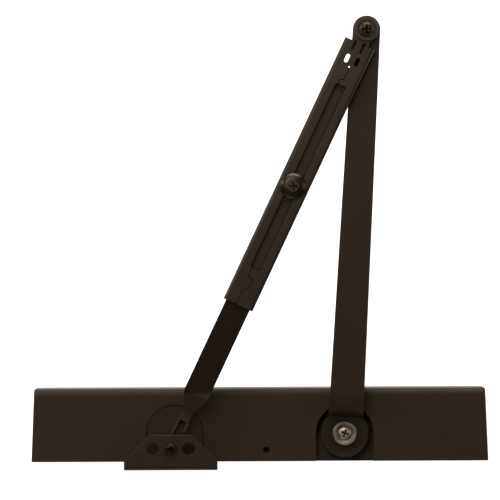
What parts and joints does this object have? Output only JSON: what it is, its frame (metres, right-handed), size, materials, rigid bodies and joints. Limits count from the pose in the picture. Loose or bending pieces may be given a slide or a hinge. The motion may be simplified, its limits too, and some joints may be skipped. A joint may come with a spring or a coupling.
{
  "type": "door closer",
  "caption": "Surface mounted rack-and-pinion door closer: box cover over a cast body, with a joggled main arm, adjustable slotted forearm and frame shoe.",
  "frame": {"origin": "centre of the four door screws, on the face of the door", "axes": "+X along the cover towards the pinion's end, +Y away from the door, +Z along the pinion towards the arms"},
  "size_m": [0.3252, 0.3222, 0.1013],
  "materials": {
    "cover_paint": "satin dark bronze lacquer",
    "arm_paint": "semi-gloss dark bronze lacquer",
    "insert_plastic": "fine textured dark bronze plastic",
    "dark_fastener": "dark bronze plated steel",
    "zinc": "dull zinc plated steel",
    "casting": "dark bronze paint on a rough casting",
    "black_steel": "black oxide steel",
    "steel": "ground steel",
    "spring_steel": "oil tempered wire",
    "rubber": "nitrile rubber",
    "nylon": "natural nylon"
  },
  "bodies": {
    "closer_body": {"cover": "cover_paint", "cover_insert": "insert_plastic", "cover_screws": "dark_fastener", "body_casting": "casting", "spring_end_plug": "steel", "valve_end_plug": "steel", "spring_end_plug_ring": "rubber", "valve_end_plug_ring": "rubber", "upper_bearing": "steel", "lower_bearing": "steel", "upper_shaft_seal": "rubber", "lower_shaft_seal": "rubber", "upper_bearing_nut": "steel", "lower_bearing_nut": "steel", "power_spring": "spring_steel"},
    "spindle": {"pinion_shaft": "steel", "main_arm": "arm_paint", "arm_washer": "zinc", "arm_screw": "zinc", "elbow_spacer": "nylon", "elbow_bush": "steel", "elbow_washer": "dark_fastener", "elbow_screw": "dark_fastener", "elbow_nut": "dark_fastener"},
    "piston": {"rack_piston": "steel", "piston_seal": "nylon", "check_retainer": "steel"},
    "check_valve": {"check_ball": "steel"},
    "forearm": {"forearm_sleeve": "arm_paint"},
    "rod": {"adjusting_rod": "arm_paint", "clamp_washer": "dark_fastener", "clamp_screw": "dark_fastener"},
    "shoe": {"shoe_bracket": "arm_paint", "shoe_bush": "steel", "shoe_washer": "dark_fastener", "shoe_nut": "dark_fastener", "shoe_screw": "black_steel"},
    "adjuster": {"power_adjuster": "steel"},
    "seat": {"spring_seat": "steel"},
    "backcheck": {"backcheck_valve": "black_steel"},
    "sweep": {"sweep_valve": "black_steel"},
    "latch": {"latch_valve": "black_steel"}
  },
  "joints": [
    {"name": "pinion_turn", "type": "hinge", "parent": "closer_body", "child": "spindle", "pos_m": [0.0605, 0.02, 0.03], "axis": [0, 0, 1], "range_deg": [0, 175], "stiffness_Nm_per_rad": 2.7, "springref_deg": -114.59},
    {"name": "piston_slide", "type": "slide", "parent": "closer_body", "child": "piston", "axis": [1, 0, 0], "range_m": [-0.0275, 0], "deforming": ["power_spring"]},
    {"name": "elbow_turn", "type": "hinge", "parent": "spindle", "child": "forearm", "pos_m": [0.07688, 0.30673, 0.06], "axis": [0, 0, 1], "range_deg": [-135, 10]},
    {"name": "rod_slide", "type": "slide", "parent": "forearm", "child": "rod", "axis": [-0.4266, -0.9045, 0], "range_m": [-0.031, 0.055]},
    {"name": "shoe_turn", "type": "hinge", "parent": "rod", "child": "shoe", "pos_m": [-0.06333, 0.00944, 0.0475], "axis": [0, 0, 1], "range_deg": [-110, 60]},
    {"name": "check_ball_lift", "type": "slide", "parent": "piston", "child": "check_valve", "axis": [1, 0, 0], "range_m": [0, 0.0012]},
    {"name": "adjuster_turn", "type": "hinge", "parent": "closer_body", "child": "adjuster", "pos_m": [-0.12, 0.026, 0], "axis": [1, 0, 0], "range_deg": [-1080, 1080]},
    {"name": "seat_slide", "type": "slide", "parent": "closer_body", "child": "seat", "axis": [1, 0, 0], "range_m": [-0.00375, 0.00375], "deforming": ["power_spring"]},
    {"name": "backcheck_turn", "type": "hinge", "parent": "closer_body", "child": "backcheck", "pos_m": [0.0047, 0.0081, 0.02], "axis": [0, 0, 1], "range_deg": [-180, 180]},
    {"name": "sweep_turn", "type": "hinge", "parent": "closer_body", "child": "sweep", "pos_m": [0.095, 0.0081, 0.02], "axis": [0, 0, 1], "range_deg": [-180, 180]},
    {"name": "latch_turn", "type": "hinge", "parent": "closer_body", "child": "latch", "pos_m": [0.11, 0.0081, 0.02], "axis": [0, 0, 1], "range_deg": [-180, 180]}
  ],
  "couplings": [
    {"joint": "piston_slide", "follows": "pinion_turn", "m_per_rad": -0.009},
    {"joint": "adjuster_turn", "follows": "seat_slide", "rad_per_m": 5026.5}
  ]
}
